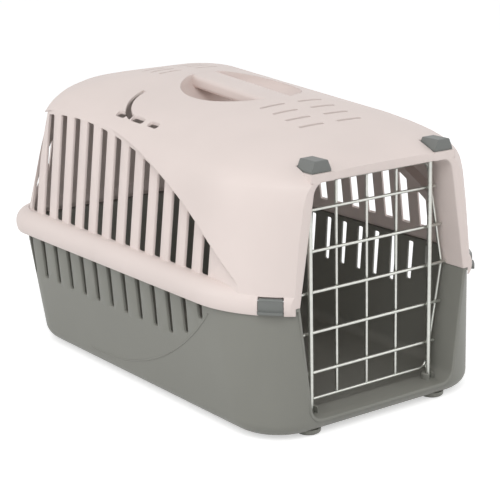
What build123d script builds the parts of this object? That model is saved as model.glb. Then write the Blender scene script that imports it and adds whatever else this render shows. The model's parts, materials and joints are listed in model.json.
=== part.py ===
from build123d import *
from math import cos, radians, sin, sqrt
import os

# Pet carrier: tub, domed top with a carry bar, wire door, knobs and side clips.
# Millimetres, +Z up, the door faces -Y, the origin is on the floor at the middle.

# overall
front_y = -240.0
rear_y = 240.0
foot_height = 4.0
wall = 3.0
fit_gap = 0.3

# lower shell
belly_half_width = 137.0
belly_front = -238.0
belly_rear = 203.0
belly_front_radius = 50.0
belly_rear_radius = 48.0
belly_edge_radius = 14.0
tub_top = 130.0
tub_half_width = 146.5
tub_front = -250.0
tub_rear = 227.0
tub_front_radius = 88.0
tub_rear_radius = 52.0
tub_flange_thickness = 3.0

# rim of the upper shell
rim_half_width = 154.0
rim_front_radius = 116.0
rim_front_centre_y = -150.0
rim_rear_radius = 58.0
rim_drop = 6.5
rim_skirt = 3.2
rim_bulge_height = 3.0
rim_top_height = 17.2
rim_shelf_depth = 14.5
rim_rib_depth = 8.0
rim_shelf_height = 8.0
rim_shelf_sink = 2.0
rim_foot_inset = 0.9
rim_edge_inset = 0.2

# upper shell: height, half width, front, rear, front corner radius, rear corner radius,
# and the angle in degrees by which the level rises to the rear
dome_sections = (
    (130.5, 151.5, -265.0, 236.0, 115.0, 55.0, 0.0),
    (150.0, 149.5, -265.0, 232.0, 115.0, 55.0, 0.0),
    (195.0, 143.5, -264.0, 221.0, 112.0, 55.0, 0.0),
    (225.0, 139.5, -261.0, 212.0, 108.0, 54.0, 0.0),
    (240.0, 136.0, -257.0, 206.5, 104.0, 52.0, 0.0),
    (251.0, 131.0, -246.0, 201.0, 96.0, 50.0, 0.8),
    (261.0, 123.5, -236.0, 194.0, 90.0, 48.0, 2.0),
    (270.5, 111.0, -222.0, 184.0, 82.0, 46.0, 3.0),
    (279.5, 94.0, -199.0, 166.0, 74.0, 44.0, 3.6),
    (287.0, 71.0, -163.0, 136.0, 56.0, 40.0, 4.0),
    (292.5, 46.0, -122.0, 98.0, 36.0, 30.0, 4.2),
    (296.0, 22.0, -88.0, 58.0, 16.0, 16.0, 4.5),
)
inner_skirt_drop = 2.0

# recessed side and rear panels of the upper shell
panel_base_z = 147.0
panel_base_half_width = 139.5
panel_base_rear = 229.0
panel_lean = 0.117
panel_rear_lean = 0.28
panel_rear_radius = 50.0
panel_reach_down = 40.0
panel_reach_up = 140.0
panel_arc_y = 104.5
panel_arc_z = -177.8
panel_arc_radius = 444.4

# ventilation slots in the sides
slot_pitch = 27.1
first_slot_y = -144.0
upper_slot_count = 14
lower_slot_count = 13
upper_slot_width = 12.5
upper_slot_margin = 7.5
slot_inner_x = 100.0
lower_slot_width = 8.5
lower_slot_taper = 0.8
lower_slot_top = 125.5
lower_slot_bottom = 78.0
lower_slot_short_bottoms = (106.0, 85.0)

# roof slits and strap slots
slit_width = 3.6
slit_inner_x = 8.0
slit_outer_x = 38.0
slit_base_z = 255.0
front_slit_y = (-100.0, -120.0, -140.0, -160.0)
rear_slit_y = (78.0, 94.0, 110.0)
strap_slot_x = 112.0
strap_slot_width = 6.5
strap_slot_spans = ((-33.0, -16.0), (-7.0, 14.0), (25.0, 42.0))
strap_arc_radius = 37.0
strap_arc_width = 6.0
strap_arc_y = 11.0
strap_base_z = 250.0

# carry bar and its finger bowl
bowl_y = -17.0
bowl_half_length = 66.0
bowl_half_width = 60.0
bowl_rim_z = 292.0
bowl_depth = 30.0
bar_half_width = 17.0
bar_thickness = 14.0
bar_overlap = 5.0

# doorway
door_half_width_mid = 100.5
door_half_width_top = 82.0
door_half_width_bottom = 86.0
door_mid_z = 130.0
door_top_z = 242.0
door_bottom_z = 18.0
door_corner_radius = 13.0
collar_depth = 32.0

# wire door
wire_diameter = 3.0
rod_diameter = 5.0
rod_x = 73.7
rod_y = -220.0
grid_top_z = 235.6
grid_bottom_z = 27.5
grid_mid_z = 132.9
cross_pitch = 39.1
cross_half_widths = (82.0, 90.0, 96.0, 90.0, 82.0)
cross_overhang = 2.0
grid_end_half_width = 76.5
grid_corner_radius = 9.0
upright_count = 3
rod_clearance = 0.3

# sockets for the rods
socket_diameter = 13.0
socket_height = 6.0

# door knobs on the hood
knob_foot_width = 22.0
knob_top_width = 14.0
knob_height = 11.0
knob_foot_height = 2.0
knob_depth = 22.0
knob_edge_radius = 1.0
knob_y = -227.0
knob_seat_height = 8.0
knob_seat_margin = 2.0
knob_seat_wall = 3.0
knob_room = 0.6
knob_stem_diameter = 4.6
hinge_rod_entry = 4.0
latch_rod_drop = 1.6

# side clips in the rim
clip_angle = 41.5
clip_span = 11.5
clip_bottom_drop = 4.2
clip_plate_inset = 2.7
clip_pin_inset = 3.4
clip_pin_rise = 7.5
clip_pin_diameter = 2.4
clip_barrel_radius = 2.5
clip_lip = 2.4
clip_lip_height = 2.6
clip_bore_clearance = 0.3
clip_pin_seat = 2.1
clip_side_gap = 0.2
clip_window_spare = 0.25

# feet
foot_radius = 12.0
foot_edge_radius = 3.0
foot_x = 78.0
foot_front_y = -221.0
foot_rear_y = 165.0

far = 400.0
cut_spare = 1.0
rim_bottom = tub_top - rim_drop
foot_positions = [(sx * foot_x, y) for sx in (-1, 1) for y in (foot_front_y, foot_rear_y)]
cross_middle = (len(cross_half_widths) - 1) / 2
cross_z = [grid_mid_z + (cross_middle - i) * cross_pitch for i in range(len(cross_half_widths))]
grid_y = rod_y + rod_diameter / 2 + wire_diameter / 2
upright_y = grid_y + wire_diameter
slot_ys = [first_slot_y + i * slot_pitch for i in range(upper_slot_count)]


def outline(z, half_width, front, rear, front_radius, rear_radius, rise=0.0):
    """Rounded rectangle at height z on the middle line, rising to the rear by an angle."""
    fx = half_width - front_radius
    rx = half_width - rear_radius
    fy = front + front_radius
    ry = rear - rear_radius
    fd = front_radius * sqrt(0.5)
    rd = rear_radius * sqrt(0.5)
    edges = [
        Line((-fx, front), (fx, front)),
        ThreePointArc((fx, front), (fx + fd, fy - fd), (half_width, fy)),
        Line((half_width, fy), (half_width, ry)),
        ThreePointArc((half_width, ry), (rx + rd, ry + rd), (rx, rear)),
        Line((rx, rear), (-rx, rear)),
        ThreePointArc((-rx, rear), (-rx - rd, ry + rd), (-half_width, ry)),
        Line((-half_width, ry), (-half_width, fy)),
        ThreePointArc((-half_width, fy), (-fx - fd, fy - fd), (-fx, front)),
    ]
    slope = radians(rise)
    level = Plane(origin=(0, 0, z), x_dir=(1, 0, 0), z_dir=(0, -sin(slope), cos(slope)))
    return level * make_face(Curve() + edges)


def block(x0, x1, y0, y1, z0, z1):
    """Box between two corners."""
    return Pos((x0 + x1) / 2, (y0 + y1) / 2, (z0 + z1) / 2) * Box(x1 - x0, y1 - y0, z1 - z0)


def front_half_space(y):
    """Everything behind the plane at y."""
    return block(-far, far, y, far, -far, far)


def tub_section(z, inset):
    """Outline of the tub at height z, moved inwards by inset."""
    t = (z - foot_height) / (tub_top - foot_height)
    return outline(
        z,
        belly_half_width + t * (tub_half_width - belly_half_width) - inset,
        belly_front + t * (tub_front - belly_front) + inset,
        belly_rear + t * (tub_rear - belly_rear) - inset,
        belly_front_radius + t * (tub_front_radius - belly_front_radius) - inset,
        belly_rear_radius + t * (tub_rear_radius - belly_rear_radius) - inset,
    )


def tub_body(bottom, top, inset, edge_radius):
    """Tapered tub block with a rounded belly edge."""
    body = loft([tub_section(bottom, inset), tub_section(top, inset)], ruled=True)
    return fillet(body.faces().sort_by(Axis.Z)[0].edges(), edge_radius)


def dome_body(inset, bottom_drop):
    """Domed top, each section moved inwards along its own slope by inset."""
    faces = []
    last = len(dome_sections) - 1
    for i, (z, half_width, front, rear, front_radius, rear_radius, slope) in enumerate(dome_sections):
        below = dome_sections[max(i - 1, 0)]
        above = dome_sections[min(i + 1, last)]
        rise = above[0] - below[0]
        run = below[1] - above[1]
        side = inset * rise / sqrt(rise * rise + run * run)
        down = inset * run / sqrt(rise * rise + run * run)
        if i == 0:
            down = bottom_drop
        faces.append(
            outline(
                z - down,
                half_width - side,
                front + side,
                rear - side,
                front_radius - side,
                rear_radius - side,
                slope,
            )
        )
    return loft(faces, ruled=True)


def panel_body(inset):
    """Leaning block whose sides and rear are the recessed panels."""
    faces = []
    for z in (panel_base_z - panel_reach_down, panel_base_z + panel_reach_up):
        rise = z - panel_base_z
        faces.append(
            outline(
                z,
                panel_base_half_width - panel_lean * rise - inset,
                -far,
                panel_base_rear - panel_rear_lean * rise - inset,
                panel_rear_radius - inset,
                panel_rear_radius - inset,
            )
        )
    return loft(faces, ruled=True)


def panel_region(grow, base):
    """Side view of the recessed panel: a disc with one long arc in front and above."""
    disc = Pos(panel_arc_y, panel_arc_z) * Circle(panel_arc_radius + grow)
    band = Pos(0, base + far / 2) * Rectangle(2 * far, far)
    return extrude(Plane.YZ * (disc & band), far, both=True)


def rim_path():
    """Open path round the rim, from the front left corner to the front right one."""
    r = rim_front_radius
    d = r * sqrt(0.5)
    q = rim_rear_radius
    e = q * sqrt(0.5)
    w = rim_half_width
    cy = rim_front_centre_y
    ry = rear_y - q
    edges = [
        ThreePointArc((r - w, cy - r), (r - w - d, cy - d), (-w, cy)),
        Line((-w, cy), (-w, ry)),
        ThreePointArc((-w, ry), (q - w - e, ry + e), (q - w, rear_y)),
        Line((q - w, rear_y), (w - q, rear_y)),
        ThreePointArc((w - q, rear_y), (w - q + e, ry + e), (w, ry)),
        Line((w, ry), (w, cy)),
        ThreePointArc((w, cy), (w - r + d, cy - d), (w - r, cy - r)),
    ]
    return Wire(edges)


def swept_round_rim(face_edges):
    """Carry a section of the rim, drawn outwards and upwards, round the carrier."""
    start = (rim_front_radius - rim_half_width, rim_front_centre_y - rim_front_radius, 0)
    section_plane = Plane(origin=start, x_dir=(0, -1, 0), z_dir=(-1, 0, 0))
    return sweep(section_plane * make_face(Curve() + face_edges), path=rim_path())


def rim_band():
    """Rounded rim with a skirt over the tub flange and a rib that rests on it."""
    bulge_z = tub_top + rim_bulge_height
    top_z = tub_top + rim_top_height
    under_z = tub_top + rim_shelf_height - rim_shelf_sink
    rise = top_z - bulge_z
    k = sqrt(0.5)
    edges = [
        Line((-rim_skirt, rim_bottom), (-rim_foot_inset, rim_bottom)),
        ThreePointArc(
            (-rim_foot_inset, rim_bottom),
            (-rim_edge_inset, (rim_bottom + bulge_z) / 2),
            (0, bulge_z),
        ),
        ThreePointArc(
            (0, bulge_z),
            (-rim_shelf_depth * (1 - k), bulge_z + rise * k),
            (-rim_shelf_depth, top_z),
        ),
        Line((-rim_shelf_depth, top_z), (-rim_shelf_depth, under_z)),
        Line((-rim_shelf_depth, under_z), (-rim_rib_depth, under_z)),
        Line((-rim_rib_depth, under_z), (-rim_rib_depth, tub_top + fit_gap)),
        Line((-rim_rib_depth, tub_top + fit_gap), (-rim_skirt, tub_top + fit_gap)),
        Line((-rim_skirt, tub_top + fit_gap), (-rim_skirt, rim_bottom)),
    ]
    return swept_round_rim(edges)


def tub_flange():
    """Flat flange round the tub, just inside the skirt of the rim."""
    outer = -rim_skirt - fit_gap
    inner = -rim_shelf_depth - wall
    low = tub_top - tub_flange_thickness
    edges = [
        Line((inner, low), (outer, low)),
        Line((outer, low), (outer, tub_top)),
        Line((outer, tub_top), (inner, tub_top)),
        Line((inner, tub_top), (inner, low)),
    ]
    return swept_round_rim(edges)


def doorway(grow, depth):
    """Six-sided prism of the doorway, grown by grow, from the front plane backwards."""
    mid = door_half_width_mid + grow
    low = door_half_width_bottom + grow
    top = door_half_width_top + grow
    points = [
        (-low, door_bottom_z - grow),
        (low, door_bottom_z - grow),
        (mid, door_mid_z),
        (top, door_top_z + grow),
        (-top, door_top_z + grow),
        (-mid, door_mid_z),
    ]
    face = make_face(Polyline(*points, close=True))
    corners = face.vertices().filter_by(lambda v: abs(v.Y - door_mid_z) > cut_spare)
    face = fillet(corners, door_corner_radius + grow)
    placed = Plane(origin=(0, front_y + depth, 0), x_dir=(1, 0, 0), z_dir=(0, -1, 0)) * face
    return extrude(placed, depth)


def collar():
    """Tube round the doorway that guides the door."""
    return doorway(wall, collar_depth) - front_cut()


def front_cut():
    """Doorway prism that opens the front right through the collar."""
    return Pos(0, -far, 0) * doorway(0.0, collar_depth + cut_spare + far)


def upper_slots():
    """Side slots that end along the arc of the panel."""
    z0 = panel_base_z
    region = panel_region(-upper_slot_margin, z0)
    bars = [
        block(-far, far, y - upper_slot_width / 2, y + upper_slot_width / 2, z0, far)
        for y in slot_ys
    ]
    core = block(-slot_inner_x, slot_inner_x, -far, far, -far, far)
    return (Part() + bars) & (region - core)


def lower_slots():
    """Side slots of the tub, the front ones shorter, narrower at the foot."""
    slots = []
    for i in range(lower_slot_count):
        bottom = lower_slot_bottom
        if i < len(lower_slot_short_bottoms):
            bottom = lower_slot_short_bottoms[i]
        y = slot_ys[i]
        half = lower_slot_width / 2
        foot = half - lower_slot_taper
        face = make_face(
            Polyline(
                (y - foot, bottom),
                (y + foot, bottom),
                (y + half, lower_slot_top),
                (y - half, lower_slot_top),
                close=True,
            )
        )
        slots.append(extrude(Plane.YZ * face, far, both=True))
    return slots


def foot():
    """Low round foot under the belly."""
    height = foot_height + wall / 2
    pad = Pos(0, 0, height / 2) * Cylinder(foot_radius, height)
    return fillet(pad.edges().sort_by(Axis.Z)[0], foot_edge_radius)


def rod_socket():
    """Round boss on the sill with a bore for the rod, open to the front."""
    boss = Cylinder(socket_diameter / 2, socket_height + wall, align=(Align.CENTER, Align.CENTER, Align.MIN))
    return Pos(0, rod_y, door_bottom_z - wall) * boss


def rod_socket_bore():
    """Bore of the socket with its slit to the front."""
    radius = rod_diameter / 2 + rod_clearance
    height = socket_height + cut_spare
    bore = Cylinder(radius, height, align=(Align.CENTER, Align.CENTER, Align.MIN))
    slit = Pos(0, -socket_diameter / 2, height / 2) * Box(2 * radius, socket_diameter, height)
    return Pos(0, rod_y, door_bottom_z) * (bore + slit)


def lower_shell():
    """Tub with flange, slots, door sill, rod sockets and feet."""
    body = tub_body(foot_height, tub_top, 0.0, belly_edge_radius)
    body = body + tub_flange()
    body = body & front_half_space(front_y)
    cavity = tub_body(foot_height + wall, tub_top + cut_spare, wall, belly_edge_radius - wall)
    body = body - (cavity & front_half_space(front_y + wall))
    body = body - lower_slots()
    body = body + (collar() & block(-far, far, -far, far, -far, tub_top))
    body = body + [Pos(x, y) * foot() for x, y in foot_positions]
    body = body - front_cut()
    for x in (-rod_x, rod_x):
        body = body + Pos(x) * rod_socket()
        body = body - Pos(x) * rod_socket_bore()
    return body


def knob_pocket_rear():
    """Rear face of the room in which a knob slides."""
    return knob_y + knob_depth / 2 + knob_room


def knob_seat(x, dome):
    """Block that carries a knob and takes the rod end, with walls up to the hood."""
    half = knob_foot_width / 2 + knob_seat_margin
    rear = knob_pocket_rear() + knob_seat_wall
    pad = block(x - half, x + half, front_y, rear, door_top_z, door_top_z + knob_seat_height)
    walls = block(x - half, x + half, front_y, rear, door_top_z, far)
    return pad + (walls & dome)


def knob_pocket():
    """Room above the seat in which the knob slides."""
    half = knob_foot_width / 2 + knob_room
    floor_z = door_top_z + knob_seat_height
    return block(-half, half, front_y - cut_spare, knob_pocket_rear(), floor_z, far)


def knob_bore():
    """Vertical bore for the stem of a knob."""
    radius = rod_diameter / 2 + rod_clearance
    bore = Cylinder(radius, knob_seat_height + 2 * wall)
    return Pos(0, rod_y, door_top_z + knob_seat_height / 2) * bore


def ellipsoid(a, b, c):
    """Ball stretched to three half lengths."""
    return scale(Sphere(1.0), by=(a, b, c))


def carry_bar(dome):
    """Strip of the roof that spans the finger bowl as the carry bar."""
    y0 = bowl_y - bowl_half_length - bar_overlap
    y1 = bowl_y + bowl_half_length + bar_overlap
    strip = block(-bar_half_width, bar_half_width, y0, y1, bowl_rim_z - bowl_depth, far) & dome
    return strip - Pos(0, 0, -bar_thickness) * dome


def roof_slits():
    """Crosswise slits in front of and behind the carry bar."""
    slits = []
    for y in front_slit_y + rear_slit_y:
        for side in (-1, 1):
            x0 = min(side * slit_inner_x, side * slit_outer_x)
            x1 = max(side * slit_inner_x, side * slit_outer_x)
            slits.append(block(x0, x1, y - slit_width / 2, y + slit_width / 2, slit_base_z, far))
    return slits


def strap_slots():
    """Slots on both shoulders with a curved tail towards the roof."""
    cuts = []
    z0 = strap_base_z
    for side in (-1, 1):
        x = side * strap_slot_x
        for y0, y1 in strap_slot_spans:
            cuts.append(block(x - strap_slot_width / 2, x + strap_slot_width / 2, y0, y1, z0, far))
        ring = Circle(strap_arc_radius + strap_arc_width / 2) - Circle(strap_arc_radius - strap_arc_width / 2)
        reach = 2 * strap_arc_radius
        quarter = Pos(side * strap_arc_radius, strap_arc_radius) * Rectangle(reach, reach)
        curved = Pos(side * (strap_slot_x - strap_arc_radius), strap_arc_y, z0) * (ring & quarter)
        cuts.append(extrude(curved, far - z0))
    return cuts


def clip_sector(radius_in, radius_out, z0, z1, spare):
    """Piece of a ring about the front corner centre, over the width of a clip."""
    start = 180.0 + clip_angle - clip_span / 2 - spare
    size = clip_span + 2 * spare
    ring = Circle(radius_out) - Circle(radius_in)
    reach = 2 * radius_out
    wedge = make_face(
        Polyline(
            (0, 0),
            (reach * cos(radians(start)), reach * sin(radians(start))),
            (reach * cos(radians(start + size)), reach * sin(radians(start + size))),
            close=True,
        )
    )
    centre = Pos(rim_front_radius - rim_half_width, rim_front_centre_y, z0)
    return extrude(centre * (ring & wedge), z1 - z0)


def clip_pin_location(side):
    """Place of the middle of a clip pin, with X along the pin."""
    radius = rim_front_radius - clip_pin_inset
    angle = radians(180.0 + clip_angle)
    x = rim_front_radius - rim_half_width + radius * cos(angle)
    y = rim_front_centre_y + radius * sin(angle)
    return (side * -x, y, tub_top + clip_pin_rise)


def clip_pin_bar(diameter, length):
    """Bar along the pin axis of the left clip."""
    angle = radians(180.0 + clip_angle)
    plane = Plane(origin=clip_pin_location(-1), z_dir=(-sin(angle), cos(angle), 0))
    return plane * Cylinder(diameter / 2, length)


def clip_chord():
    """Width of a clip along its pin."""
    return 2 * (rim_front_radius - clip_pin_inset) * sin(radians(clip_span / 2))


def clip_window():
    """Room in the rim for the left clip."""
    z0 = rim_bottom - cut_spare
    z1 = tub_top + clip_pin_rise + clip_pin_inset + fit_gap
    inner = rim_front_radius - clip_pin_inset - clip_barrel_radius - fit_gap
    return clip_sector(inner, rim_front_radius + wall, z0, z1, clip_window_spare)


def clip():
    """Left clip: barrel on the pin, plate over the flange and a finger lip."""
    bottom = tub_top - clip_bottom_drop
    pin_z = tub_top + clip_pin_rise
    outer = rim_front_radius
    plate = clip_sector(outer - clip_plate_inset, outer, bottom, pin_z, 0.0)
    lip = clip_sector(outer - clip_plate_inset, outer + clip_lip, bottom, bottom + clip_lip_height, 0.0)
    barrel = clip_pin_bar(2 * clip_barrel_radius, clip_chord() - 2 * clip_side_gap)
    bore = clip_pin_bar(clip_pin_diameter + 2 * clip_bore_clearance, clip_pin_length())
    return plate + lip + barrel - bore


def bowl(grow):
    """Finger bowl under the carry bar."""
    ball = ellipsoid(bowl_half_width + grow, bowl_half_length + grow, bowl_depth + grow)
    return Pos(0, bowl_y, bowl_rim_z) * ball


def upper_shell():
    """Domed top with recessed slotted sides, rim, hood, carry bar and vents."""
    shelf_z = tub_top + rim_shelf_height
    dome = dome_body(0.0, 0.0) & block(-far, far, front_y, far, tub_top + fit_gap, far)
    body = dome - (panel_region(0.0, shelf_z) - panel_body(0.0))
    cavity = dome_body(wall, inner_skirt_drop)
    cavity = cavity - (panel_region(wall, shelf_z - wall) - panel_body(wall))
    cavity = cavity & front_half_space(front_y + wall)
    cavity = cavity - bowl(wall)
    body = body - cavity
    body = body - bowl(0.0)
    body = body + carry_bar(dome)
    body = body - upper_slots()
    body = body - roof_slits()
    body = body - strap_slots()
    body = body + (rim_band() & front_half_space(front_y))
    body = body + (collar() & block(-far, far, -far, far, tub_top + fit_gap, far))
    body = body - front_cut()
    for x in (-rod_x, rod_x):
        body = body + knob_seat(x, dome)
        body = body - Pos(x) * knob_pocket()
        body = body - Pos(x) * knob_bore()
    window = clip_window()
    body = body - window
    body = body - mirror(window, about=Plane.YZ)
    for side in (-1, 1):
        body = body - clip_pin_hole(side)
    return body


def clip_pin_length():
    """Length of a clip pin with its two seats in the rim."""
    return clip_chord() + 2 * clip_pin_seat


def clip_pin_hole(side):
    """Bore in the rim that holds a clip pin."""
    hole = clip_pin_bar(clip_pin_diameter, clip_pin_length())
    return hole if side < 0 else mirror(hole, about=Plane.YZ)


def clip_pin():
    """Pin of the left clip."""
    return clip_pin_bar(clip_pin_diameter, clip_pin_length())


def upright_rod(x, top):
    """Thick rod of the door from its socket to the hood."""
    bottom = door_bottom_z + fit_gap
    rod = Cylinder(rod_diameter / 2, top - bottom, align=(Align.CENTER, Align.CENTER, Align.MIN))
    return Pos(x, rod_y, bottom) * rod


def cross_wire(i):
    """Horizontal wire of the door."""
    half = cross_half_widths[i] + cross_overhang
    return Pos(0, grid_y, cross_z[i]) * Rot(0, 90, 0) * Cylinder(wire_diameter / 2, 2 * half)


def upright_wire(i):
    """Thin vertical wire of the door, behind the cross wires."""
    x = rod_x * (2 * (i + 1) / (upright_count + 1) - 1)
    height = grid_top_z - grid_bottom_z - wire_diameter
    wire = Cylinder(wire_diameter / 2, height)
    return Pos(x, upright_y, (grid_top_z + grid_bottom_z) / 2) * wire


def perimeter_wire():
    """Closed wire round the door, bent to the shape of the doorway."""
    top = (grid_end_half_width, grid_top_z)
    mid = (cross_half_widths[2], grid_mid_z)
    low = (grid_end_half_width, grid_bottom_z)
    points = [top, mid, low, (-low[0], low[1]), (-mid[0], mid[1]), (-top[0], top[1])]
    path = FilletPolyline(*points, radius=grid_corner_radius, close=True)
    placed = Plane(origin=(0, upright_y, 0), x_dir=(1, 0, 0), z_dir=(0, -1, 0)) * path
    start = placed @ 0
    section = Plane(origin=start, z_dir=placed % 0) * Circle(wire_diameter / 2)
    return sweep(section, path=placed)


def door_knob():
    """Wedge-shaped knob that stands on the seat."""
    z0 = door_top_z + knob_seat_height + fit_gap
    half = knob_foot_width / 2
    face = make_face(
        Polyline(
            (-half, z0),
            (half, z0),
            (half, z0 + knob_foot_height),
            (knob_top_width / 2, z0 + knob_height),
            (-knob_top_width / 2, z0 + knob_height),
            (-half, z0 + knob_foot_height),
            close=True,
        )
    )
    plane = Plane(origin=(0, knob_y + knob_depth / 2, 0), x_dir=(1, 0, 0), z_dir=(0, -1, 0))
    body = extrude(plane * face, knob_depth)
    return fillet(body.faces().sort_by(Axis.Z)[-1].edges(), knob_edge_radius)


def knob_stem(z0):
    """Round stem from a knob down to the end of the rod."""
    z1 = door_top_z + knob_seat_height + fit_gap
    stem = Cylinder(knob_stem_diameter / 2, z1 - z0, align=(Align.CENTER, Align.CENTER, Align.MIN))
    return Pos(0, rod_y, z0) * stem


def write(name, body):
    """Write one piece under its own name."""
    body.label = name
    export_step(body, "parts/" + name + ".step")


def main():
    """Build and write every piece."""
    write("lower_shell", lower_shell())
    write("upper_shell", upper_shell())
    hinge_top = door_top_z + hinge_rod_entry
    latch_top = door_top_z - latch_rod_drop
    write("hinge_rod", upright_rod(-rod_x, hinge_top))
    write("latch_rod", upright_rod(rod_x, latch_top))
    write("perimeter_wire", perimeter_wire())
    for i in range(len(cross_z)):
        write("cross_wire_" + str(i + 1), cross_wire(i))
    for i in range(upright_count):
        write("upright_wire_" + str(i + 1), upright_wire(i))
    left_clip = clip()
    left_pin = clip_pin()
    for name, side in (("left", -1), ("right", 1)):
        write(name + "_knob", Pos(side * rod_x) * door_knob())
        stem_end = (hinge_top if side < 0 else latch_top) + fit_gap
        write(name + "_knob_stem", Pos(side * rod_x) * knob_stem(stem_end))
        write(name + "_clip", left_clip if side < 0 else mirror(left_clip, about=Plane.YZ))
        write(name + "_clip_pin", left_pin if side < 0 else mirror(left_pin, about=Plane.YZ))


main()
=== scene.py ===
import json
import math

import bmesh
import bpy
import numpy as np
from mathutils import Matrix, Vector


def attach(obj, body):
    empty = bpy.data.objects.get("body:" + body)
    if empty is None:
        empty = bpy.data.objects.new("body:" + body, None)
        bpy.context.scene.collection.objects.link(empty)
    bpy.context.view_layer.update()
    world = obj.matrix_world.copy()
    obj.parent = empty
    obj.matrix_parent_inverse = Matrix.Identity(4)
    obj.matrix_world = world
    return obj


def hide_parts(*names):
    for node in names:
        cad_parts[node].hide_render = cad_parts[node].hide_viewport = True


# Pet carrier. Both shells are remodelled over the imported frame; the wires, knobs, stems, clips
# and pins show as packed. Lengths are millimetres until a mesh is made; the door faces -Y.

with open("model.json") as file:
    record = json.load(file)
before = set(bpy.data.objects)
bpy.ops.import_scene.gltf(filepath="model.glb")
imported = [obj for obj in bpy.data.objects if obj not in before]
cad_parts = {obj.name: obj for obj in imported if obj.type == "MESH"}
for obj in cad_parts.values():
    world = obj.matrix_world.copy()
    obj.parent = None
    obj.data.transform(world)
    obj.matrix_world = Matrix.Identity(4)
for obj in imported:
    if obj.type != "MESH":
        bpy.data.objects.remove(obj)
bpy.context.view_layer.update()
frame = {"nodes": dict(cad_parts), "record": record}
print("frame loaded")

millimetre = 0.001
far = 400.0
cutSpare = 1.0
frontPlane = -240.0
shellWall = 3.0
shadeAngle = 32


# Mesh object from points in millimetres, with its faces turned outwards.
def makeObject(name, points, faces):
    mesh = bpy.data.meshes.new(name)
    mesh.from_pydata((np.asarray(points) * millimetre).tolist(), [], faces)
    work = bmesh.new()
    work.from_mesh(mesh)
    bmesh.ops.recalc_face_normals(work, faces=work.faces)
    work.to_mesh(mesh)
    work.free()
    thing = bpy.data.objects.new(name, mesh)
    bpy.context.scene.collection.objects.link(thing)
    return thing


# Quads between closed rings of equal length, with a flat cap at each end.
def loftFaces(rows, columns, start):
    index = np.arange(rows * columns).reshape(rows, columns) + start
    right = np.roll(index, -1, axis=1)
    quads = np.stack([index[:-1], right[:-1], right[1:], index[1:]], axis=-1).reshape(-1, 4)
    return quads.tolist() + [index[0][::-1].tolist(), index[-1].tolist()]


# One object from several closed lofts, each an array of rings of points.
def loftMany(name, solids):
    points = []
    faces = []
    start = 0
    for rings in solids:
        rings = np.asarray(rings, float)
        faces += loftFaces(rings.shape[0], rings.shape[1], start)
        points.append(rings.reshape(-1, 3))
        start += rings.shape[0] * rings.shape[1]
    return makeObject(name, np.concatenate(points), faces)


# Union, difference or intersection of two closed meshes; the tool is used up.
def combine(target, tool, operation):
    modifier = target.modifiers.new("combine", "BOOLEAN")
    modifier.operation = operation
    modifier.solver = "MANIFOLD"
    modifier.object = tool
    graph = bpy.context.evaluated_depsgraph_get()
    mesh = bpy.data.meshes.new_from_object(target.evaluated_get(graph))
    target.modifiers.clear()
    old = target.data
    target.data = mesh
    bpy.data.meshes.remove(old)
    toolMesh = tool.data
    bpy.data.objects.remove(tool)
    bpy.data.meshes.remove(toolMesh)
    return target


# The tool is added to the target.
def join(target, tool):
    return combine(target, tool, "UNION")


# The tool is taken out of the target.
def cut(target, tool):
    return combine(target, tool, "DIFFERENCE")


# Only what lies inside the tool is kept.
def within(target, tool):
    return combine(target, tool, "INTERSECT")


# The same flat outline at each of the heights.
def upright(flat, heights):
    return [np.column_stack([flat, np.full(len(flat), z)]) for z in heights]


# Box between two corners.
def block(x0, x1, y0, y1, z0, z1):
    flat = np.array([(x0, y0), (x1, y0), (x1, y1), (x0, y1)], float)
    return loftMany("block", [upright(flat, (z0, z1))])


# Everything behind the plane at y.
def behind(y):
    return block(-far, far, y, far, -far, far)


# Everything between two heights.
def between(low, high):
    return block(-far, far, -far, far, low, high)


# Each vector divided by its length.
def unit(vectors):
    return vectors / np.linalg.norm(vectors, axis=-1, keepdims=True)


# Points on a circle: the centre plus the radius times the cosine and sine of each angle.
def onCircle(cx, cy, radius, angles):
    return np.stack([cx + radius * np.cos(angles), cy + radius * np.sin(angles)], 1)


# Angles of one full turn, without the repeated last one.
def fullTurn(steps):
    return np.linspace(0, 2 * math.pi, steps + 1)[:-1]


# Polygon whose corners are arcs: each centre lies on the corner's bisector at the radius over
# the sine of the half angle, and the first tangent point is turned about it to the second one.
def roundedPolygon(corners, radius, steps):
    here = np.asarray(corners, float)
    back = unit(np.roll(here, 1, axis=0) - here)
    ahead = unit(np.roll(here, -1, axis=0) - here)
    half = 0.5 * np.arccos(np.clip(np.sum(back * ahead, axis=1), -1, 1))[:, None]
    centre = here + unit(back + ahead) * radius / np.sin(half)
    first = here + back * radius / np.tan(half) - centre
    last = here + ahead * radius / np.tan(half) - centre
    cross = first[:, 0] * last[:, 1] - first[:, 1] * last[:, 0]
    turn = np.arctan2(cross, np.sum(first * last, axis=1))
    angle = turn[:, None] * np.linspace(0, 1, steps)
    x = centre[:, :1] + first[:, :1] * np.cos(angle) - first[:, 1:] * np.sin(angle)
    y = centre[:, 1:] + first[:, :1] * np.sin(angle) + first[:, 1:] * np.cos(angle)
    return np.stack([x, y], -1).reshape(-1, 2)


plan = {"cornerSteps": 19, "sideSteps": 20}


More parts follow.
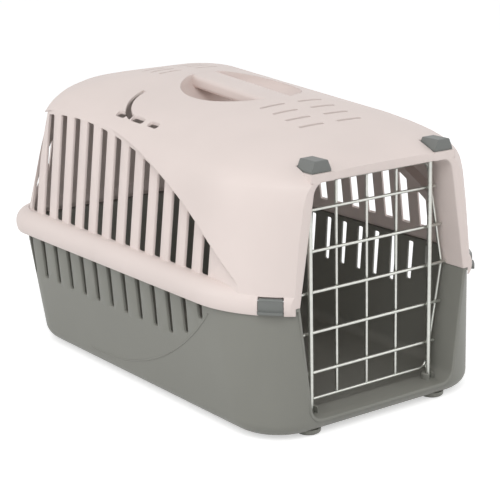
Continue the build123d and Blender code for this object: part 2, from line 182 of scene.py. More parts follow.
# Rounded rectangle in plan: a quarter circle at each corner, straight runs between them.
def planRing(halfWidth, front, rear, frontRadius, rearRadius, sideSteps=plan["sideSteps"]):
    corners = (
        (halfWidth - frontRadius, front + frontRadius, frontRadius, -math.pi / 2),
        (halfWidth - rearRadius, rear - rearRadius, rearRadius, 0.0),
        (rearRadius - halfWidth, rear - rearRadius, rearRadius, math.pi / 2),
        (frontRadius - halfWidth, front + frontRadius, frontRadius, math.pi),
    )
    quarter = np.linspace(0, math.pi / 2, plan["cornerSteps"])
    arcs = [onCircle(cx, cy, radius, begin + quarter) for cx, cy, radius, begin in corners]
    share = np.linspace(0, 1, sideSteps + 1)[1:-1, None]
    outline = []
    for arc, nextArc in zip(arcs, arcs[1:] + arcs[:1]):
        outline.append(arc)
        outline.append(arc[-1] * (1 - share) + nextArc[0] * share)
    return np.concatenate(outline)


# Centre and radius of the circle through three points, from the two perpendicular bisectors.
def circleThrough(a, b, c):
    (ax, ay), (bx, by), (cx, cy) = a, b, c
    aa = ax * ax + ay * ay
    bb = bx * bx + by * by
    cc = cx * cx + cy * cy
    d = 2 * (ax * (by - cy) + bx * (cy - ay) + cx * (ay - by))
    ux = (aa * (by - cy) + bb * (cy - ay) + cc * (ay - by)) / d
    uy = (aa * (cx - bx) + bb * (ax - cx) + cc * (bx - ax)) / d
    return ux, uy, math.hypot(ax - ux, ay - uy)


# Points along the arc from a over b to c, ends included.
def arcPoints(a, b, c, count):
    ux, uy, radius = circleThrough(a, b, c)
    begin = math.atan2(a[1] - uy, a[0] - ux)
    turn = (math.atan2(c[1] - uy, c[0] - ux) - begin) % (2 * math.pi)
    middle = (math.atan2(b[1] - uy, b[0] - ux) - begin) % (2 * math.pi)
    if middle > turn:
        turn -= 2 * math.pi
    return onCircle(ux, uy, radius, begin + np.linspace(0, turn, count))


# Stack of circles, each level a height and the change of its radius.
def roundColumn(cx, cy, radius, levels, steps=36):
    turns = fullTurn(steps)
    return [np.column_stack([onCircle(cx, cy, radius + d, turns), np.full(steps, z)]) for z, d in levels]


# materials
plasticLook = {
    "fineScale": 900.0,
    "fineDetail": 2.0,
    "broadScale": 9.0,
    "broadDetail": 3.0,
    "rampEnds": (0.3, 0.7),
    "shades": (0.97, 1.03),
    "bumpDistance": 0.0002,
    "edgeSamples": 6,
    "specular": 0.4,
}
metalLook = {
    "mottleScale": 220.0,
    "mottleDetail": 3.0,
    "rampEnds": (0.35, 0.65),
    "shades": (0.9, 1.0),
    "roughnessSpread": 0.06,
}


# Colour ramp between a darker and a lighter shade of the colour.
def addShades(nodes, color, look):
    ramp = nodes.new("ShaderNodeValToRGB")
    for element, position, factor in zip(ramp.color_ramp.elements, look["rampEnds"], look["shades"]):
        element.position = position
        element.color = tuple(min(1.0, c * factor) for c in color) + (1,)
    return ramp


# Noise texture with its scale and detail.
def addNoise(nodes, scale, detail):
    noise = nodes.new("ShaderNodeTexNoise")
    noise.inputs["Scale"].default_value = scale
    noise.inputs["Detail"].default_value = detail
    return noise


# Moulded plastic: fine grain in the bump, softened edges in the shading.
def plastic(name, color, roughness, grain, rounding):
    material = bpy.data.materials.new(name)
    material.use_nodes = True
    nodes = material.node_tree.nodes
    links = material.node_tree.links
    shader = nodes["Principled BSDF"]
    coordinate = nodes.new("ShaderNodeTexCoord")
    fine = addNoise(nodes, plasticLook["fineScale"], plasticLook["fineDetail"])
    broad = addNoise(nodes, plasticLook["broadScale"], plasticLook["broadDetail"])
    ramp = addShades(nodes, color, plasticLook)
    bump = nodes.new("ShaderNodeBump")
    bump.inputs["Strength"].default_value = grain
    bump.inputs["Distance"].default_value = plasticLook["bumpDistance"]
    edge = nodes.new("ShaderNodeBevel")
    edge.samples = plasticLook["edgeSamples"]
    edge.inputs["Radius"].default_value = rounding
    links.new(coordinate.outputs["Object"], fine.inputs["Vector"])
    links.new(coordinate.outputs["Object"], broad.inputs["Vector"])
    links.new(broad.outputs["Fac"], ramp.inputs["Fac"])
    links.new(ramp.outputs["Color"], shader.inputs["Base Color"])
    links.new(fine.outputs["Fac"], bump.inputs["Height"])
    links.new(edge.outputs["Normal"], bump.inputs["Normal"])
    links.new(bump.outputs["Normal"], shader.inputs["Normal"])
    shader.inputs["Roughness"].default_value = roughness
    shader.inputs["Specular IOR Level"].default_value = plasticLook["specular"]
    return material


# Drawn steel with a dull coat: colour and roughness follow one fine mottle.
def metal(name, color, roughness):
    material = bpy.data.materials.new(name)
    material.use_nodes = True
    nodes = material.node_tree.nodes
    links = material.node_tree.links
    shader = nodes["Principled BSDF"]
    coordinate = nodes.new("ShaderNodeTexCoord")
    mottle = addNoise(nodes, metalLook["mottleScale"], metalLook["mottleDetail"])
    ramp = addShades(nodes, color, metalLook)
    spread = nodes.new("ShaderNodeMapRange")
    spread.inputs["To Min"].default_value = roughness - metalLook["roughnessSpread"]
    spread.inputs["To Max"].default_value = roughness + metalLook["roughnessSpread"]
    links.new(coordinate.outputs["Object"], mottle.inputs["Vector"])
    links.new(mottle.outputs["Fac"], ramp.inputs["Fac"])
    links.new(mottle.outputs["Fac"], spread.inputs["Value"])
    links.new(ramp.outputs["Color"], shader.inputs["Base Color"])
    links.new(spread.outputs["Result"], shader.inputs["Roughness"])
    shader.inputs["Metallic"].default_value = 1.0
    return material


# plastics: name, colour, roughness, grain, edge rounding in metres; metals: up to roughness
materialOf = {
    "shell_beige": plastic("shellBeige", (0.76, 0.665, 0.63), 0.48, 0.25, 0.0009),
    "shell_grey": plastic("shellGrey", (0.225, 0.225, 0.2), 0.5, 0.3, 0.0009),
    "dark_grey_plastic": plastic("darkGreyPlastic", (0.17, 0.178, 0.17), 0.45, 0.3, 0.0006),
    "galvanised_wire": metal("galvanisedWire", (0.62, 0.63, 0.59), 0.34),
    "steel_pin": metal("steelPin", (0.56, 0.57, 0.58), 0.3),
}
print("materials done")


# Give a piece the material of its record slot.
def dress(thing, slotName):
    thing.data.materials.clear()
    thing.data.materials.append(materialOf[slotName])


# Smooth shading, with edges over the angle kept sharp.
def shade(thing, degrees):
    mesh = thing.data
    mesh.polygons.foreach_set("use_smooth", np.ones(len(mesh.polygons), bool))
    work = bmesh.new()
    work.from_mesh(mesh)
    limit = math.radians(degrees)
    for edge in work.edges:
        edge.smooth = len(edge.link_faces) == 2 and edge.calc_face_angle(0.0) < limit
    work.to_mesh(mesh)
    work.free()


# Name, shading, material, the body that the piece rides on and the nodes that it stands for.
def finishPiece(thing, name, body, slotName, nodes, degrees):
    thing.name = name
    shade(thing, degrees)
    dress(thing, slotName)
    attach(thing, body)
    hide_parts(*nodes)


# dome: each row has the height, half width, front, rear, front corner radius, rear corner
# radius, and the angle in degrees by which the level rises to the rear
dome = {
    "rows": (
        (130.5, 151.5, -265.0, 236.0, 115.0, 55.0, 0.0),
        (150.0, 149.5, -265.0, 232.0, 115.0, 55.0, 0.0),
        (195.0, 143.5, -264.0, 221.0, 112.0, 55.0, 0.0),
        (225.0, 139.5, -261.0, 212.0, 108.0, 54.0, 0.0),
        (240.0, 136.0, -257.0, 206.5, 104.0, 52.0, 0.0),
        (251.0, 131.0, -246.0, 201.0, 96.0, 50.0, 0.8),
        (261.0, 123.5, -236.0, 194.0, 90.0, 48.0, 2.0),
        (270.5, 111.0, -222.0, 184.0, 82.0, 46.0, 3.0),
        (279.5, 94.0, -199.0, 166.0, 74.0, 44.0, 3.6),
        (287.0, 71.0, -163.0, 136.0, 56.0, 40.0, 4.0),
        (292.5, 46.0, -122.0, 98.0, 36.0, 30.0, 4.2),
        (296.0, 22.0, -88.0, 58.0, 16.0, 16.0, 4.5),
    ),
    "bottom": 130.3,
    "readings": 400,
    "levels": 64,
    "blend": 31,
    "skirtDrop": 2.0,
}


# The rows, read along the slope of the side and averaged over a short window, so that one
# level flows into the next.
def domeLevels():
    rows = np.array(dome["rows"])
    columns = range(rows.shape[1])
    step = np.hypot(np.diff(rows[:, 0]), np.diff(rows[:, 1]))
    along = np.concatenate([[0], np.cumsum(step)])
    dense = np.linspace(0, along[-1], dome["readings"])
    table = np.stack([np.interp(dense, along, rows[:, i]) for i in columns], 1)
    pad = dome["blend"]
    low = table[0] + (table[0] - table[1]) * np.arange(pad, 0, -1)[:, None]
    high = table[-1] + (table[-1] - table[-2]) * np.arange(1, pad + 1)[:, None]
    padded = np.concatenate([low, table, high])
    window = np.hanning(pad + 2)[1:-1]
    window = window / window.sum()
    smooth = np.stack([np.convolve(padded[:, i], window, "same") for i in columns], 1)[pad:-pad]
    return smooth[np.linspace(0, len(smooth) - 1, dome["levels"]).astype(int)]


# Each level as a ring, moved inwards by inset at right angles to the slope of the side.
def domeRings(inset):
    levels = domeLevels()
    rise = np.gradient(levels[:, 0])
    run = -np.gradient(levels[:, 1])
    side = inset * rise / np.hypot(rise, run)
    down = inset * run / np.hypot(rise, run)
    rings = []
    for s, d, (z, halfWidth, front, rear, frontRadius, rearRadius, tilt) in zip(side, down, levels):
        flat = planRing(halfWidth - s, front + s, rear - s, frontRadius - s, rearRadius - s)
        turn = math.radians(tilt)
        height = z - d + flat[:, 1] * math.sin(turn)
        rings.append(np.column_stack([flat[:, 0], flat[:, 1] * math.cos(turn), height]))
    if inset:
        foot = rings[0].copy()
        foot[:, 2] -= dome["skirtDrop"]
        rings.insert(0, foot)
    return rings


panel = {
    "z": 147.0,
    "halfWidth": 139.5,
    "rear": 229.0,
    "lean": 0.117,
    "rearLean": 0.28,
    "radius": 50.0,
    "reachDown": 40.0,
    "reachUp": 140.0,
    "sideSteps": 6,
}


# Half width of the recessed panel at height z.
def panelSide(z):
    return panel["halfWidth"] - panel["lean"] * (z - panel["z"])


# Leaning block whose sides and rear are the recessed panels.
def panelRings(inset):
    rings = []
    for z in (panel["z"] - panel["reachDown"], panel["z"] + panel["reachUp"]):
        rear = panel["rear"] - panel["rearLean"] * (z - panel["z"]) - inset
        radius = panel["radius"] - inset
        flat = planRing(panelSide(z) - inset, -far, rear, radius, radius, panel["sideSteps"])
        rings += upright(flat, (z,))
    return rings


# recess: a disc seen from the side, whose edge opens outwards so that its step slopes
region = {
    "y": 104.5,
    "z": -177.8,
    "radius": 444.4,
    "flare": 0.357,
    "flareFrom": 135.0,
    "stepX": 120.0,
    "base": 138.0,
    "arcSteps": 120,
}


# Arc above base about the disc's centre; the radius grows outwards by the flare.
def regionRings(grow, base):
    rings = []
    for x in (-far, -region["stepX"], region["stepX"], far):
        radius = region["radius"] + grow + region["flare"] * (abs(x) - region["flareFrom"])
        low = math.asin((base - region["z"]) / radius)
        angles = np.linspace(math.pi - low, low, region["arcSteps"])
        arc = onCircle(region["y"], region["z"], radius, angles)
        rings.append(np.column_stack([np.full(len(arc), x), arc]))
    return rings


# What is cut from the dome to leave the recessed panels, moved inwards by inset.
def recessTool(inset):
    outside = loftMany("recess", [regionRings(inset, region["base"] - inset)])
    return cut(outside, loftMany("panel", [panelRings(inset)]))


# doorway: half widths and heights of the six-sided outline; flare: depth and growth
doorway = {
    "mid": 100.5,
    "top": 82.0,
    "low": 86.0,
    "zMid": 130.0,
    "zTop": 242.0,
    "zLow": 18.0,
    "radius": 13.0,
    "cornerSteps": 9,
    "depth": 32.0,
    "flare": ((-60.0, 1.2), (-0.01, 1.2), (0.5, 0.35), (1.4, 0.0)),
    "edgeRound": 1.0,
}


# Outline of the doorway at y, grown by grow.
def doorwayRing(grow, y):
    low = doorway["low"] + grow
    mid = doorway["mid"] + grow
    top = doorway["top"] + grow
    zLow = doorway["zLow"] - grow
    zMid = doorway["zMid"]
    zTop = doorway["zTop"] + grow
    corners = [(-low, zLow), (low, zLow), (mid, zMid), (top, zTop), (-top, zTop), (-mid, zMid)]
    flat = roundedPolygon(corners, doorway["radius"] + grow, doorway["cornerSteps"])
    return np.column_stack([flat[:, 0], np.full(len(flat), y), flat[:, 1]])


# Prism of the doorway with a small flare at its front edge.
def doorwayTool():
    rings = [doorwayRing(grow, frontPlane + depth) for depth, grow in doorway["flare"]]
    rings.append(doorwayRing(0.0, frontPlane + doorway["depth"] + cutSpare))
    return loftMany("doorwayTool", [rings])


# Tube round the doorway between two heights, its free edge rounded.
def collar(low, high):
    edge = frontPlane + doorway["depth"]
    bend = doorway["edgeRound"]
    rings = [
        doorwayRing(shellWall, frontPlane),
        doorwayRing(shellWall, edge - bend),
        doorwayRing(shellWall - bend, edge),
        doorwayRing(-cutSpare, edge),
    ]
    return within(loftMany("collar", [rings]), between(low, high))


# side slots; flare: growth of the outline and distance outside the wall's surface
slots = {
    "pitch": 27.1,
    "first": -144.0,
    "inner": 100.0,
    "cornerRadius": 1.8,
    "cornerSteps": 5,
    "flare": ((0.0, -1.0), (0.35, -0.35), (1.0, 0.0), (1.0, 40.0)),
}
upperSlots = {"count": 14, "width": 12.5, "radius": 436.9}
lowerSlots = {"count": 13, "width": 8.5, "taper": 0.8, "top": 125.5, "bottom": 78.0, "short": (106.0, 85.0)}


# Slot through a side wall, with rounded corners and a small flare at the surface; surface
# gives the half width of the wall at a height.
def slotRings(corners, side, surface):
    corners = np.asarray(corners, float)
    outwards = np.sign(corners - np.mean(corners, axis=0))
    rings = []
    for grow, offset in slots["flare"]:
        radius = slots["cornerRadius"] + grow
        flat = roundedPolygon(corners + grow * outwards, radius, slots["cornerSteps"])
        rings.append(np.column_stack([side * (surface(flat[:, 1]) + offset), flat]))
    inner = rings[0].copy()
    inner[:, 0] = side * slots["inner"]
    return [inner] + rings


# Height of the arc that ends the upper slots, at y.
def slotTop(y):
    return region["z"] + math.sqrt(upperSlots["radius"] ** 2 - (y - region["y"]) ** 2)


# Slots of the recess; their tops lie on an arc about the centre of the recess.
def upperSlotTool():
    solids = []
    for i in range(upperSlots["count"]):
        y0 = slots["first"] + i * slots["pitch"] - upperSlots["width"] / 2
        y1 = y0 + upperSlots["width"]
        corners = [(y0, panel["z"]), (y1, panel["z"]), (y1, slotTop(y1)), (y0, slotTop(y0))]
        solids += [slotRings(corners, side, panelSide) for side in (-1, 1)]
    return loftMany("upperSlots", solids)


# Slots of the tub, narrower at the foot, the front ones shorter.
def lowerSlotTool():
    solids = []
    for i in range(lowerSlots["count"]):
        y = slots["first"] + i * slots["pitch"]
        bottom = lowerSlots["short"][i] if i < len(lowerSlots["short"]) else lowerSlots["bottom"]
        top = lowerSlots["top"]
        half = lowerSlots["width"] / 2
        foot = half - lowerSlots["taper"]
        corners = [(y - foot, bottom), (y + foot, bottom), (y + half, top), (y - half, top)]
        solids += [slotRings(corners, side, tubSide) for side in (-1, 1)]
    return loftMany("lowerSlots", solids)


# rim: plan of its outer edge, then its section as distances outwards and heights
rim = {
    "halfWidth": 154.0,
    "frontRadius": 116.0,
    "frontCentre": -150.0,
    "frontTurn": 82.0,
    "rearRadius": 58.0,
    "rear": 240.0,
    "arcSteps": 36,
    "skirt": ((-3.2, 123.5), (-2.3, 123.5)),
    "side": ((-1.6, 123.9), (-0.35, 127.6), (0.0, 133.0)),
    "sideSteps": 6,
    "shoulder": ((0.0, 133.0), (-4.25, 143.04), (-14.5, 147.2)),
    "shoulderSteps": 12,
    "inside": ((-14.5, 136.0), (-8.0, 136.0), (-8.0, 130.3), (-3.2, 130.3)),
}
# flange of the tub, just inside the skirt: half of its section on each row
flange = {
    "under": ((-17.5, 127.0), (-3.9, 127.0), (-3.5, 127.4)),
    "over": ((-3.5, 129.7), (-3.8, 130.0), (-17.5, 130.0)),
}


# Section, given outwards and upwards, carried round the rim: each point lies on the arcs about
# the four corner centres, at the arc's radius plus its own distance outwards.
def rimSweep(name, section):
    section = np.asarray(section, float)
    w = rim["halfWidth"]
    q = rim["rearRadius"]
    r = rim["frontRadius"]
    turn = math.radians(rim["frontTurn"])
    rearY = rim["rear"] - q
    arcs = (
        (r - w, rim["frontCentre"], r, math.pi + turn, math.pi),
        (q - w, rearY, q, math.pi, math.pi / 2),
        (w - q, rearY, q, math.pi / 2, 0.0),
        (w - r, rim["frontCentre"], r, 0.0, -turn),
    )
    rings = []
    for cx, cy, radius, begin, end in arcs:
        angles = np.linspace(begin, end, rim["arcSteps"])[:, None]
        x = cx + (radius + section[:, 0]) * np.cos(angles)
        y = cy + (radius + section[:, 0]) * np.sin(angles)
        z = np.broadcast_to(section[:, 1], x.shape)
        rings.append(np.stack([x, y, z], -1))
    return loftMany(name, [np.concatenate(rings)])


# Rounded rim with a skirt over the flange and a rib that rests on it.
def rimBand():
    side = arcPoints(*rim["side"], rim["sideSteps"])[:-1]
    shoulder = arcPoints(*rim["shoulder"], rim["shoulderSteps"])
    return rimSweep("rimBand", np.concatenate([rim["skirt"], side, shoulder, rim["inside"]]))


bowl = {
    "y": -17.0,
    "halfLength": 66.0,
    "halfWidth": 60.0,
    "z": 292.0,
    "depth": 30.0,
    "lowestAngle": 88.0,
    "rings": 22,
    "turnSteps": 72,
}


# Lower half of a ball stretched to three half lengths, with a collar straight up.
def bowlTool(grow):
    turns = fullTurn(bowl["turnSteps"])
    rings = []
    for t in np.linspace(math.radians(bowl["lowestAngle"]), 0, bowl["rings"]):
        a = (bowl["halfWidth"] + grow) * math.cos(t)
        b = (bowl["halfLength"] + grow) * math.cos(t)
        z = bowl["z"] - (bowl["depth"] + grow) * math.sin(t)
        flat = np.stack([a * np.cos(turns), bowl["y"] + b * np.sin(turns)], 1)
        rings += upright(flat, (z,))
    lift = rings[-1].copy()
    lift[:, 2] = far
    return loftMany("bowlTool", [rings + [lift]])


bar = {
    "halfWidth": 17.0,
    "thickness": 14.0,
    "overlap": 5.0,
    "radius": 5.0,
    "cornerSteps": 9,
    "sink": 0.05,
    "rise": 4.5,
    "z": 296.0,
    "rings": 12,
}


# Rounded rectangle carried along the middle line of the roof, over the bowl.
def carryBar():
    reach = bowl["halfLength"] + bar["overlap"]
    h = bar["halfWidth"]
    t = bar["thickness"]
    section = roundedPolygon([(-h, -t), (h, -t), (h, 0.0), (-h, 0.0)], bar["radius"], bar["cornerSteps"])
    slope = math.tan(math.radians(bar["rise"]))
    rings = []
    for y in np.linspace(bowl["y"] - reach, bowl["y"] + reach, bar["rings"]):
        z = bar["z"] - bar["sink"] + y * slope
        rings.append(np.column_stack([section[:, 0], np.full(len(section), y), z + section[:, 1]]))
    return loftMany("carryBar", [rings])


slits = {
    "y": (-100.0, -120.0, -140.0, -160.0, 78.0, 94.0, 110.0),
    "inner": 8.0,
    "outer": 38.0,
    "width": 3.6,
    "base": 255.0,
    "endSteps": 7,
    "endSpare": 0.01,
}
shoulder = {
    "x": 112.0,
    "width": 6.5,
    "spans": ((-33.0, -16.0), (-7.0, 14.0), (25.0, 42.0)),
    "base": 250.0,
    "arcY": 11.0,
    "arcRadius": 37.0,
    "arcWidth": 6.0,
    "arcStart": 0.12,
    "arcSteps": 16,
}


# Upright prism over a rectangle with round ends.
def slitRings(x0, x1, y0, y1, base):
    radius = min(x1 - x0, y1 - y0) / 2 - slits["endSpare"]
    flat = roundedPolygon([(x0, y0), (x1, y0), (x1, y1), (x0, y1)], radius, slits["endSteps"])
    return upright(flat, (base, far))


# Curved tail of a shoulder slot: a quarter of a flat ring.
def shoulderArc(side):
    angles = np.linspace(shoulder["arcStart"], math.pi / 2, shoulder["arcSteps"])
    turned = np.stack([side * np.cos(angles), np.sin(angles)], 1)
    centre = np.array((side * (shoulder["x"] - shoulder["arcRadius"]), shoulder["arcY"]))
    outer = centre + (shoulder["arcRadius"] + shoulder["arcWidth"] / 2) * turned
    inner = centre + (shoulder["arcRadius"] - shoulder["arcWidth"] / 2) * turned
    return upright(np.concatenate([outer, inner[::-1]]), (shoulder["base"], far))


# Slits before and behind the bar, and the slot group on both shoulders.
def roofCuts():
    solids = []
    halfSlit = slits["width"] / 2
    for y in slits["y"]:
        for side in (-1, 1):
            x0, x1 = sorted((side * slits["inner"], side * slits["outer"]))
            solids.append(slitRings(x0, x1, y - halfSlit, y + halfSlit, slits["base"]))
    halfSlot = shoulder["width"] / 2
    for side in (-1, 1):
        x = side * shoulder["x"]
        for y0, y1 in shoulder["spans"]:
            solids.append(slitRings(x - halfSlot, x + halfSlot, y0, y1, shoulder["base"]))
        solids.append(shoulderArc(side))
    return solids


rods = {"x": 73.7, "y": -220.0, "boreRadius": 2.8}
knobSeat = {
    "halfWidth": 13.0,
    "rear": -212.4,
    "low": 242.0,
    "high": 250.0,
    "roomHalfWidth": 11.6,
    "roomRear": -215.4,
    "roomTop": 280.0,
    "roomFront": 5.0,
    "boreEnds": (234.0, 258.0),
    "boreSteps": 24,
}


# Pad under a knob with walls up to the hood, the room above it and the bore for its stem.
def addKnobSeat(shell, x):
    seat = knobSeat
    x0 = x - seat["halfWidth"]
    x1 = x + seat["halfWidth"]
    room0 = x - seat["roomHalfWidth"]
    room1 = x + seat["roomHalfWidth"]
    roomFront = frontPlane - seat["roomFront"]
    hood = loftMany("walls", [domeRings(0.0)])
    shell = join(shell, within(hood, block(x0, x1, frontPlane, seat["rear"], seat["low"], far)))
    shell = join(shell, block(x0, x1, frontPlane, seat["rear"], seat["low"], seat["high"]))
    shell = cut(shell, block(room0, room1, roomFront, seat["roomRear"], seat["high"], seat["roomTop"]))
    levels = [(z, 0.0) for z in seat["boreEnds"]]
    bore = roundColumn(x, rods["y"], rods["boreRadius"], levels, seat["boreSteps"])
    return cut(shell, loftMany("bore", [bore]))


clipWindow = {
    "angle": 41.5,
    "span": 11.5,
    "spare": 0.25,
    "inner": 109.8,
    "outer": 119.0,
    "low": 122.5,
    "high": 141.2,
    "steps": 9,
}


# Room in the rim for a clip: part of a ring about the front corner centre.
def clipWindowTool(side):
    middle = math.radians(180 + clipWindow["angle"])
    half = math.radians(clipWindow["span"] / 2 + clipWindow["spare"])
    angles = np.linspace(middle - half, middle + half, clipWindow["steps"])
    turned = np.stack([np.cos(angles), np.sin(angles)], 1)
    ring = np.concatenate([clipWindow["inner"] * turned, (clipWindow["outer"] * turned)[::-1]])
    flat = ring + (rim["frontRadius"] - rim["halfWidth"], rim["frontCentre"])
    flat[:, 0] *= -side
    return loftMany("window", [upright(flat, (clipWindow["low"], clipWindow["high"]))])


# upper shell
outerDome = loftMany("upperShell", [domeRings(0.0)])
outerDome = within(outerDome, block(-far, far, frontPlane, far, dome["bottom"], far))
outerDome = cut(outerDome, recessTool(0.0))
print("dome done")
innerDome = loftMany("innerDome", [domeRings(shellWall)])
innerDome = cut(innerDome, recessTool(shellWall))
innerDome = within(innerDome, behind(frontPlane + shellWall))
innerDome = cut(innerDome, bowlTool(shellWall))
upperShell = cut(outerDome, innerDome)
upperShell = cut(upperShell, bowlTool(0.0))
print("shell hollow")
upperShell = join(upperShell, carryBar())
upperShell = cut(upperShell, upperSlotTool())
for rings in roofCuts():
    upperShell = cut(upperShell, loftMany("cut", [rings]))
print("slots cut")
upperShell = join(upperShell, within(rimBand(), behind(frontPlane)))
upperShell = join(upperShell, collar(dome["bottom"], far))
upperShell = cut(upperShell, doorwayTool())
for side in (-1, 1):
    upperShell = addKnobSeat(upperShell, side * rods["x"])
print("rim and collar done")
for side in (-1, 1):
    upperShell = cut(upperShell, clipWindowTool(side))
finishPiece(upperShell, "upperShell", "upper", "shell_beige", ["upper_shell"], shadeAngle)
print("upper shell done", len(upperShell.data.polygons))


# tub: each pair has the value at the bottom and the value at the top
tub = {
    "z": (4.0, 130.0),
    "halfWidth": (137.0, 146.5),
    "front": (-238.0, -250.0),
    "rear": (203.0, 227.0),
    "frontRadius": (50.0, 88.0),
    "rearRadius": (48.0, 52.0),
    "edge": 14.0,
    "edgeSteps": 9,
    "wallSteps": 7,
}


# Value of the tub at height z, on the straight line between its pair.
def tubAt(name, z):
    low, high = tub["z"]
    bottom, top = tub[name]
    return bottom + (top - bottom) * ((z - low) / (high - low))


# Half width of the tub at height z.
def tubSide(z):
    return tubAt("halfWidth", z)


# Tapered tub with a quarter round of radius edge at the belly.
def tubRings(inset, top, edge):
    bottom = tub["z"][0] + inset
    angles = np.linspace(0, math.pi / 2, tub["edgeSteps"])
    wallHeights = np.linspace(bottom + edge, top, tub["wallSteps"])[1:]
    heights = np.concatenate([bottom + edge * (1 - np.cos(angles)), wallHeights])
    pulls = np.concatenate([edge * (1 - np.sin(angles)), np.zeros(len(wallHeights))])
    rings = []
    for z, pull in zip(heights, pulls):
        s = inset + pull
        flat = planRing(
            tubAt("halfWidth", z) - s,
            tubAt("front", z) + s,
            tubAt("rear", z) - s,
            tubAt("frontRadius", z) - s,
            tubAt("rearRadius", z) - s,
        )
        rings += upright(flat, (z,))
    return rings


# feet: places, then heights with the change of radius
feet = {
    "x": (-78.0, 78.0),
    "y": (-221.0, 165.0),
    "radius": 12.0,
    "levels": ((0.0, -3.0), (0.3, -1.8), (1.0, -0.8), (2.0, -0.2), (3.0, 0.0), (5.5, 0.0)),
}
socket = {
    "radius": 6.5,
    "levels": ((15.0, 0.0), (23.2, 0.0), (24.0, -0.8)),
    "boreEnds": (18.0, 25.0),
    "slitReach": 13.0,
}


# Round boss on the sill with a bore for the rod, open to the front.
def addSocket(shell, x):
    boss = roundColumn(x, rods["y"], socket["radius"], socket["levels"])
    shell = join(shell, loftMany("boss", [boss]))
    low, high = socket["boreEnds"]
    r = rods["boreRadius"]
    bore = roundColumn(x, rods["y"], r, ((low, 0.0), (high, 0.0)))
    shell = cut(shell, loftMany("bore", [bore]))
    return cut(shell, block(x - r, x + r, rods["y"] - socket["slitReach"], rods["y"], low, high))


rib = {
    "points": ((72.0, 20.0), (-52.0, 40.0), (-158.0, 114.0)),
    "steps": 50,
    "radius": 0.9,
    "sink": 0.2,
    "turnSteps": 8,
}


# Thin raised arc along each side of the tub: a tube about a path on the wall, each circle
# spanned by the outward direction and the path's normal in the side view.
def arcRib():
    path = arcPoints(*rib["points"], rib["steps"])
    tangent = unit(np.gradient(path, axis=0))
    turns = fullTurn(rib["turnSteps"])
    out = rib["radius"] * np.cos(turns)
    across = rib["radius"] * np.sin(turns)
    x = (tubSide(path[:, 1]) - rib["sink"])[:, None] + out
    y = path[:, :1] - tangent[:, 1:] * across
    z = path[:, 1:] + tangent[:, :1] * across
    return loftMany("arcRib", [np.stack([side * x, y, z], -1) for side in (-1, 1)])


# lower shell
tubTop = tub["z"][1]
lowerShell = loftMany("lowerShell", [tubRings(0.0, tubTop, tub["edge"])])
lowerShell = join(lowerShell, rimSweep("flangeBand", flange["under"] + flange["over"]))
lowerShell = within(lowerShell, behind(frontPlane))
cavity = loftMany("cavity", [tubRings(shellWall, tubTop + cutSpare, tub["edge"] - shellWall)])
lowerShell = cut(lowerShell, within(cavity, behind(frontPlane + shellWall)))
lowerShell = cut(lowerShell, lowerSlotTool())
lowerShell = join(lowerShell, collar(-far, tubTop))
lowerShell = cut(lowerShell, doorwayTool())
for x in feet["x"]:
    for y in feet["y"]:
        lowerShell = join(lowerShell, loftMany("foot", [roundColumn(x, y, feet["radius"], feet["levels"])]))
for side in (-1, 1):
    lowerShell = addSocket(lowerShell, side * rods["x"])
lowerShell = join(lowerShell, arcRib())
finishPiece(lowerShell, "lowerShell", "lower", "shell_grey", ["lower_shell"], shadeAngle)
print("lower shell done", len(lowerShell.data.polygons))

# the wire door, stems, pins, knobs and clips show as packed
shownSlots = {row["node"]: row["material_slot"] for row in frame["record"]["subparts"]}
for name, thing in frame["nodes"].items():
    if name in ("upper_shell", "lower_shell"):
        continue
    thing.data.materials.clear()
    thing.data.materials.append(materialOf[shownSlots[name]])
print("wires dressed")

# stage: floor and background; metres from here on
stage = {
    "halfSize": 6.0,
    "floorShade": 0.8,
    "floorRoughness": 0.9,
    "floorGlow": 0.55,
    "skyPlain": 0.55,
    "skySeen": 1.0,
}


# Largest of several ray tests of the light path, as one socket.
def seenBy(nodes, links, outputs):
    path = nodes.new("ShaderNodeLightPath")
    seen = path.outputs[outputs[0]]
    for output in outputs[1:]:
        most = nodes.new("ShaderNodeMath")
        most.operation = "MAXIMUM"
        links.new(seen, most.inputs[0])
        links.new(path.outputs[output], most.inputs[1])
        seen = most.outputs["Value"]
    return seen


half = stage["halfSize"]
floorMesh = bpy.data.meshes.new("floor")
floorCorners = [(-half, -half, 0), (half, -half, 0), (half, half, 0), (-half, half, 0)]
floorMesh.from_pydata(floorCorners, [], [(0, 1, 2, 3)])
floor = bpy.data.objects.new("floor", floorMesh)
bpy.context.scene.collection.objects.link(floor)
floorMaterial = bpy.data.materials.new("floor")
floorMaterial.use_nodes = True
floorNodes = floorMaterial.node_tree.nodes
floorLinks = floorMaterial.node_tree.links
floorShader = floorNodes["Principled BSDF"]
floorShader.inputs["Base Color"].default_value = (stage["floorShade"],) * 3 + (1,)
floorShader.inputs["Roughness"].default_value = stage["floorRoughness"]
floorShader.inputs["Specular IOR Level"].default_value = 0.0
floorGlow = floorNodes.new("ShaderNodeMath")
floorGlow.operation = "MULTIPLY"
floorGlow.inputs[1].default_value = stage["floorGlow"]
floorLinks.new(seenBy(floorNodes, floorLinks, ("Is Camera Ray", "Is Glossy Ray")), floorGlow.inputs[0])
floorShader.inputs["Emission Color"].default_value = (1, 1, 1, 1)
floorLinks.new(floorGlow.outputs["Value"], floorShader.inputs["Emission Strength"])
floorMesh.materials.append(floorMaterial)

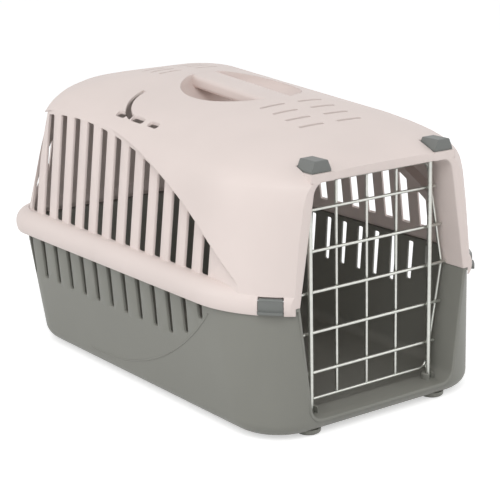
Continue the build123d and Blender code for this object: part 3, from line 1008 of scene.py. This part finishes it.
world = bpy.data.worlds.new("world")
bpy.context.scene.world = world
world.use_nodes = True
worldNodes = world.node_tree.nodes
worldLinks = world.node_tree.links
worldRange = worldNodes.new("ShaderNodeMapRange")
worldRange.inputs["To Min"].default_value = stage["skyPlain"]
worldRange.inputs["To Max"].default_value = stage["skySeen"]
worldSeen = seenBy(worldNodes, worldLinks, ("Is Camera Ray", "Is Glossy Ray", "Is Transmission Ray"))
worldLinks.new(worldSeen, worldRange.inputs["Value"])
worldLinks.new(worldRange.outputs["Result"], worldNodes["Background"].inputs["Strength"])
worldNodes["Background"].inputs["Color"].default_value = (1, 1, 1, 1)
print("stage done")

# lamps: name, place, size and power
lamps = {
    "aim": (0, 0, 0.13),
    "list": (
        ("keyLamp", (-1.2, -1.4, 1.8), 1.4, 22.0),
        ("sideLamp", (-1.9, 0.5, 0.9), 1.4, 8.0),
        ("rightLamp", (1.6, -1.1, 1.1), 1.2, 7.0),
    ),
}


# Square soft lamp that looks at the middle of the carrier.
def areaLamp(name, place, size, power):
    light = bpy.data.lights.new(name, "AREA")
    light.size = size
    light.energy = power
    lamp = bpy.data.objects.new(name, light)
    place = Vector(place)
    lamp.location = place
    lamp.rotation_euler = (Vector(lamps["aim"]) - place).to_track_quat("-Z", "Y").to_euler()
    bpy.context.scene.collection.objects.link(lamp)


for name, place, size, power in lamps["list"]:
    areaLamp(name, place, size, power)

# camera: the photograph's angle in degrees, and the point that it looks at
shot = {
    "azimuth": -36.1,
    "elevation": 15.3,
    "roll": -1.1,
    "target": (0.0195, 0.0, 0.1129),
    "distance": 1.64,
    "lens": 110.8,
    "sensor": 36.0,
    "pixels": 500,
    "samples": 128,
}
azimuth = math.radians(shot["azimuth"])
elevation = math.radians(shot["elevation"])
roll = math.radians(shot["roll"])
level = math.cos(elevation)
back = Vector((math.sin(azimuth) * level, -math.cos(azimuth) * level, math.sin(elevation)))
right = Vector((math.cos(azimuth), math.sin(azimuth), 0.0))
up = back.cross(right)
turnedRight = math.cos(roll) * right + math.sin(roll) * up
turnedUp = -math.sin(roll) * right + math.cos(roll) * up
eye = Vector(shot["target"]) + shot["distance"] * back
cameraData = bpy.data.cameras.new("camera")
cameraData.sensor_width = shot["sensor"]
cameraData.lens = shot["lens"]
camera = bpy.data.objects.new("camera", cameraData)
rows = [(turnedRight[i], turnedUp[i], back[i], eye[i]) for i in range(3)]
camera.matrix_world = Matrix(rows + [(0, 0, 0, 1)])
bpy.context.scene.collection.objects.link(camera)
scene = bpy.context.scene
scene.camera = camera
scene.render.engine = "CYCLES"
scene.cycles.samples = shot["samples"]
scene.render.resolution_x = shot["pixels"]
scene.render.resolution_y = shot["pixels"]
scene.view_settings.view_transform = "Standard"
print("camera and lamps done")
